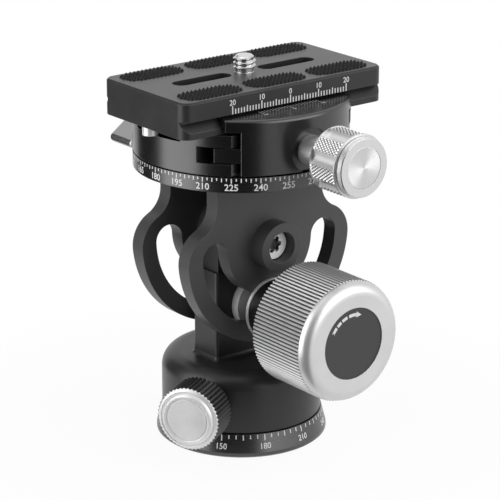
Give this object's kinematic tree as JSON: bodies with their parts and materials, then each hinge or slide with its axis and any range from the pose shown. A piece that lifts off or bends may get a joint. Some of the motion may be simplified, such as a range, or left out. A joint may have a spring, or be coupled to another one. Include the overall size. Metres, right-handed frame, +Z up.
{
  "type": "monopod head",
  "caption": "Two-way monopod head: panning base, slotted tilt yoke with a knurled lock knob, and a rotating quick-release clamp with a grooved camera plate.",
  "frame": {"origin": "centre of the base's underside, at the mouth of the monopod thread", "axes": "+Z up along the base's axis, +X along the camera plate's long side, -Y toward the tilt lock's and the clamp's knobs"},
  "size_m": [0.0737, 0.0972, 0.1112],
  "materials": {
    "base_ring": "satin black anodised",
    "housing": "satin black anodised, turned",
    "yoke": "satin black anodised",
    "turntable": "satin black anodised, printed scale",
    "clamp": "satin black anodised",
    "jaw": "satin black anodised, engraved scale",
    "plate": "fine bead-blasted, dark anodised",
    "pad_rubber": "diamond knurled",
    "pan_grip": "ribbed",
    "pan_cap": "turned rings",
    "bright_washer": "polished",
    "lock_knob": "knurled, turned front",
    "insert": "fine matt",
    "clamp_knob": "fluted, diamond knurled",
    "spun_disc": "spun",
    "wing": "satin",
    "camera_screw": "turned",
    "bright_screw": "bright",
    "steel": "turned",
    "dark_steel": "blackened",
    "brass_bush": "turned",
    "white_nylon": "plain",
    "black_nylon": "plain"
  },
  "bodies": {
    "base": {"base_ring": "base_ring", "pan_spindle": "steel", "pan_washer": "black_nylon"},
    "housing": {"pan_retainer": "steel", "retainer_screws": "dark_steel", "stem_housing": "housing", "lock_bolt": "steel", "lock_spacers": "dark_steel"},
    "pan_pad": {"pan_lock_pad": "white_nylon"},
    "pan_lock": {"pan_lock_stud": "steel", "pan_lock_knob": "pan_grip", "pan_lock_cap": "pan_cap"},
    "lock_washer": {"lock_washer": "bright_washer"},
    "lock_knob": {"lock_knob": "lock_knob", "lock_nut": "brass_bush", "lock_knob_insert": "insert"},
    "yoke": {"yoke_front_plate": "yoke", "yoke_rear_plate": "yoke", "pivot_shaft": "steel", "pivot_washers": "white_nylon", "pivot_screws": "bright_screw", "turntable": "turntable", "yoke_screws": "dark_steel", "head_bolt": "dark_steel", "head_bolt_washer": "white_nylon", "head_washer": "black_nylon"},
    "head": {"clamp_body": "clamp"},
    "jaw": {"clamp_jaw": "jaw", "jaw_pins": "steel"},
    "clamp_knob": {"clamp_screw": "steel", "clamp_knob": "clamp_knob", "clamp_knob_cap": "spun_disc"},
    "wing_pad": {"wing_pad": "white_nylon"},
    "wing": {"wing_stud": "steel", "pan_wing": "wing"},
    "plate": {"quick_plate": "plate", "plate_pads": "pad_rubber", "stop_screws": "bright_screw"},
    "camera_screw": {"camera_screw": "camera_screw"}
  },
  "joints": [
    {"name": "base_pan", "type": "hinge", "parent": "base", "child": "housing", "pos_m": [0, 0, 0.0154], "axis": [0, 0, 1], "continuous": true},
    {"name": "pan_pad_slide", "type": "slide", "parent": "housing", "child": "pan_pad", "axis": [-0.8746, -0.4848, 0], "range_m": [-0.0001333, 0.0008]},
    {"name": "pan_lock_turn", "type": "hinge", "parent": "pan_pad", "child": "pan_lock", "pos_m": [0, 0, 0.0164], "axis": [-0.8746, -0.4848, 0], "range_deg": [-61, 361]},
    {"name": "lock_washer_slide", "type": "slide", "parent": "housing", "child": "lock_washer", "axis": [0, -1, 0], "range_m": [-0.00007, 0.00187]},
    {"name": "lock_knob_turn", "type": "hinge", "parent": "lock_washer", "child": "lock_knob", "pos_m": [0, 0, 0.0401], "axis": [0, -1, 0], "range_deg": [-21, 541]},
    {"name": "tilt", "type": "hinge", "parent": "housing", "child": "yoke", "pos_m": [0, 0, 0.0594], "axis": [0, -1, 0], "range_deg": [-88, 88]},
    {"name": "head_pan", "type": "hinge", "parent": "yoke", "child": "head", "pos_m": [0, 0, 0.0849], "axis": [0, 0, 1], "continuous": true},
    {"name": "jaw_slide", "type": "slide", "parent": "head", "child": "jaw", "axis": [0, -1, 0], "range_m": [0, 0.003]},
    {"name": "clamp_knob_turn", "type": "hinge", "parent": "jaw", "child": "clamp_knob", "pos_m": [0, 0, 0.0905], "axis": [0, -1, 0], "range_deg": [-1, 1081]},
    {"name": "wing_pad_slide", "type": "slide", "parent": "head", "child": "wing_pad", "axis": [0, 1, 0], "range_m": [-0.00003889, 0.000175]},
    {"name": "wing_turn", "type": "hinge", "parent": "wing_pad", "child": "wing", "pos_m": [0, 0, 0.0882], "axis": [0, 1, 0], "range_deg": [-21, 91]},
    {"name": "plate_slide", "type": "slide", "parent": "head", "child": "plate", "axis": [-1, 0, 0], "range_m": [-0.011, 0.0124]},
    {"name": "camera_screw_turn", "type": "hinge", "parent": "plate", "child": "camera_screw", "pos_m": [0.0007, -0.0005, 0.1], "axis": [0, 0, 1], "continuous": true}
  ],
  "couplings": [
    {"joint": "pan_lock_turn", "follows": "pan_pad_slide", "rad_per_m": 7854},
    {"joint": "lock_knob_turn", "follows": "lock_washer_slide", "rad_per_m": 5026.6},
    {"joint": "clamp_knob_turn", "follows": "jaw_slide", "rad_per_m": 6283.2},
    {"joint": "wing_turn", "follows": "wing_pad_slide", "rad_per_m": 8976}
  ]
}
